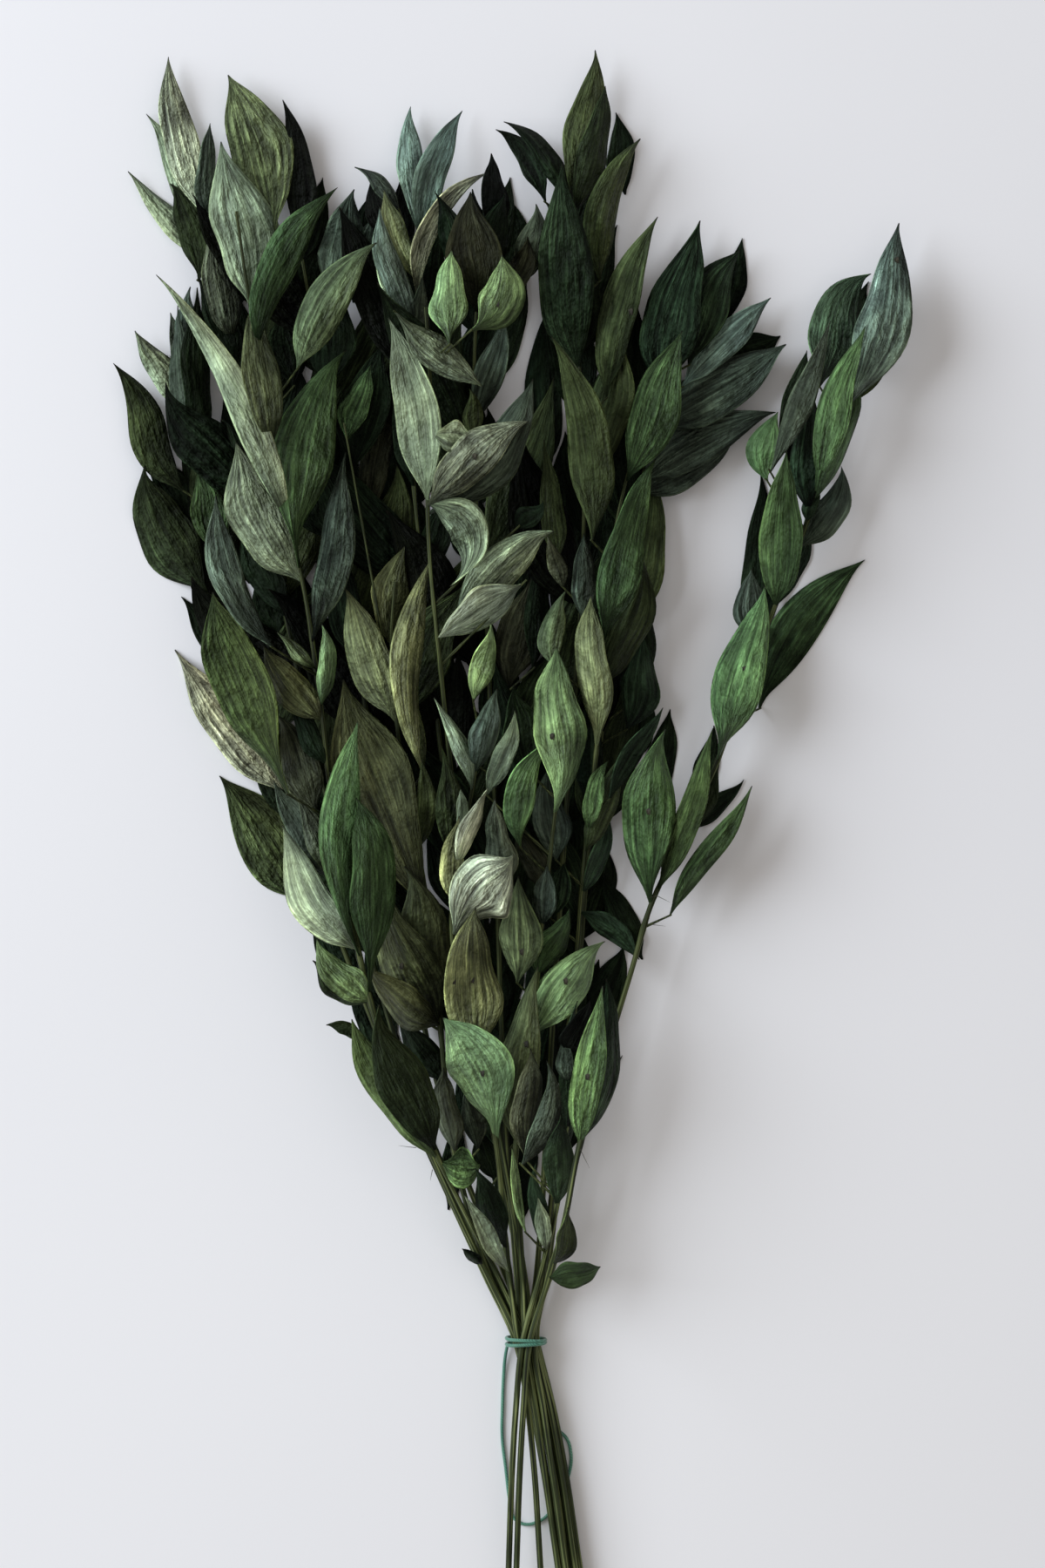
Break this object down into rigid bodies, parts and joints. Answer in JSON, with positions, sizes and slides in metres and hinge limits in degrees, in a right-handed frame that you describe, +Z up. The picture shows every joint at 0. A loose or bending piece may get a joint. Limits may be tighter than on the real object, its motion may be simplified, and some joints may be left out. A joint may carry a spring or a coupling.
{
  "type": "preserved ruscus bunch",
  "caption": "Bunch of preserved ruscus lying on a surface: long leafy stems gathered in a neck by an elastic tie with a free loop.",
  "frame": {"origin": "on the surface that the bunch lies on, under the middle of its box", "axes": "+Y along the bunch from the cut stem ends to the leaf tips, +Z up from the surface, +X to the right seen from above"},
  "size_m": [0.369, 0.7232, 0.0688],
  "materials": {
    "preserved_leaf": "dried and glycerine-preserved leaf, veined, satin, sage to dark olive green",
    "elastic": "thin woven elastic, teal green"
  },
  "bodies": {
    "root": {"leafy_stem_01": "preserved_leaf", "leafy_stem_02": "preserved_leaf", "leafy_stem_03": "preserved_leaf", "leafy_stem_04": "preserved_leaf", "leafy_stem_05": "preserved_leaf", "leafy_stem_06": "preserved_leaf", "leafy_stem_07": "preserved_leaf", "leafy_stem_08": "preserved_leaf", "leafy_stem_09": "preserved_leaf", "leafy_stem_10": "preserved_leaf", "leafy_stem_11": "preserved_leaf", "leafy_stem_12": "preserved_leaf", "leafy_stem_13": "preserved_leaf", "leafy_stem_14": "preserved_leaf", "leafy_stem_15": "preserved_leaf", "leafy_stem_16": "preserved_leaf", "tie_band": "elastic", "tie_loop": "elastic"}
  },
  "joints": []
}
